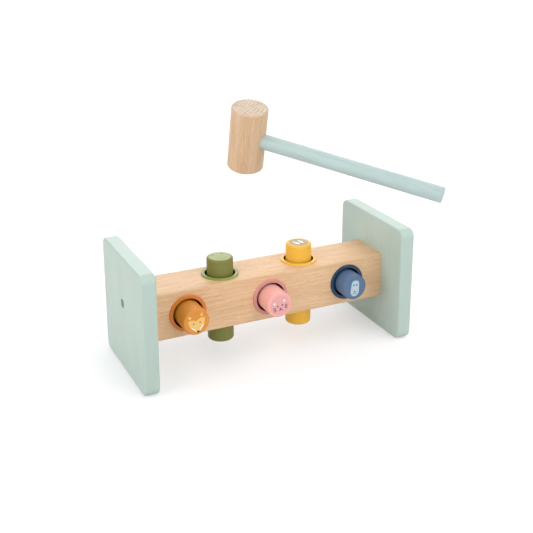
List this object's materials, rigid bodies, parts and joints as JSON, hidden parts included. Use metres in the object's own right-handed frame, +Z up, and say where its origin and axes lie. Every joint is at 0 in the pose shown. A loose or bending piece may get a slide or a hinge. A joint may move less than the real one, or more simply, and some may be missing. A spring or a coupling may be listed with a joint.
{
  "type": "toy pounding bench",
  "caption": "Wooden pounding bench: a square beam between end panels, coloured pegs hammered through it from either side, and a loose mallet.",
  "frame": {"origin": "on the floor, below the middle of the beam and midway between the end panels and their front and back edges", "axes": "+X along the beam to the right, +Y to the back, +Z up; the lying pegs' printed ends face -Y"},
  "size_m": [0.241, 0.1498, 0.2064],
  "materials": {
    "beech": "clear matt oiled beech, long grain",
    "beech_head": "clear matt oiled beech, end grain at both faces",
    "beech_dowel": "plain beech",
    "mint_paint": "smooth satin mint paint on beech",
    "zinc_screw": "zinc-plated steel",
    "orange_paint": "matt orange paint on beech",
    "green_paint": "matt olive green paint on beech",
    "pink_paint": "matt pink paint on beech",
    "yellow_paint": "matt warm yellow paint on beech",
    "blue_paint": "matt slate blue paint on beech",
    "orange_plastic": "moulded orange plastic",
    "green_plastic": "moulded light olive plastic",
    "pink_plastic": "moulded rose pink plastic",
    "yellow_plastic": "moulded yellow plastic",
    "blue_plastic": "moulded navy plastic"
  },
  "bodies": {
    "bench": {"beam": "beech", "left_end_panel": "mint_paint", "right_end_panel": "mint_paint", "left_panel_screw": "zinc_screw", "right_panel_screw": "zinc_screw", "left_panel_dowels": "beech_dowel", "right_panel_dowels": "beech_dowel", "orange_front_collar": "orange_plastic", "orange_back_collar": "orange_plastic", "green_top_collar": "green_plastic", "green_bottom_collar": "green_plastic", "pink_front_collar": "pink_plastic", "pink_back_collar": "pink_plastic", "yellow_top_collar": "yellow_plastic", "yellow_bottom_collar": "yellow_plastic", "blue_front_collar": "blue_plastic", "blue_back_collar": "blue_plastic"},
    "orange_peg": {"orange_peg": "orange_paint"},
    "green_peg": {"green_peg": "green_paint"},
    "pink_peg": {"pink_peg": "pink_paint"},
    "yellow_peg": {"yellow_peg": "yellow_paint"},
    "blue_peg": {"blue_peg": "blue_paint"},
    "hammer": {"hammer_head": "beech_head", "hammer_handle": "mint_paint"}
  },
  "joints": [
    {"name": "orange_peg_slide", "type": "slide", "parent": "bench", "child": "orange_peg", "axis": [0, 1, 0], "range_m": [-0.01025, 0.01625]},
    {"name": "green_peg_slide", "type": "slide", "parent": "bench", "child": "green_peg", "axis": [0, 0, 1], "range_m": [-0.01205, 0.01445]},
    {"name": "pink_peg_slide", "type": "slide", "parent": "bench", "child": "pink_peg", "axis": [0, 1, 0], "range_m": [-0.01125, 0.01525]},
    {"name": "yellow_peg_slide", "type": "slide", "parent": "bench", "child": "yellow_peg", "axis": [0, 0, 1], "range_m": [-0.01235, 0.01415]},
    {"name": "blue_peg_slide", "type": "slide", "parent": "bench", "child": "blue_peg", "axis": [0, 1, 0], "range_m": [-0.01485, 0.01165]},
    {"name": "hammer_swing", "type": "hinge", "parent": "bench", "child": "hammer", "pos_m": [0.09738, -0.07828, 0.14918], "axis": [0.7511, 0.6272, 0.2061], "range_deg": [0, 40]}
  ]
}
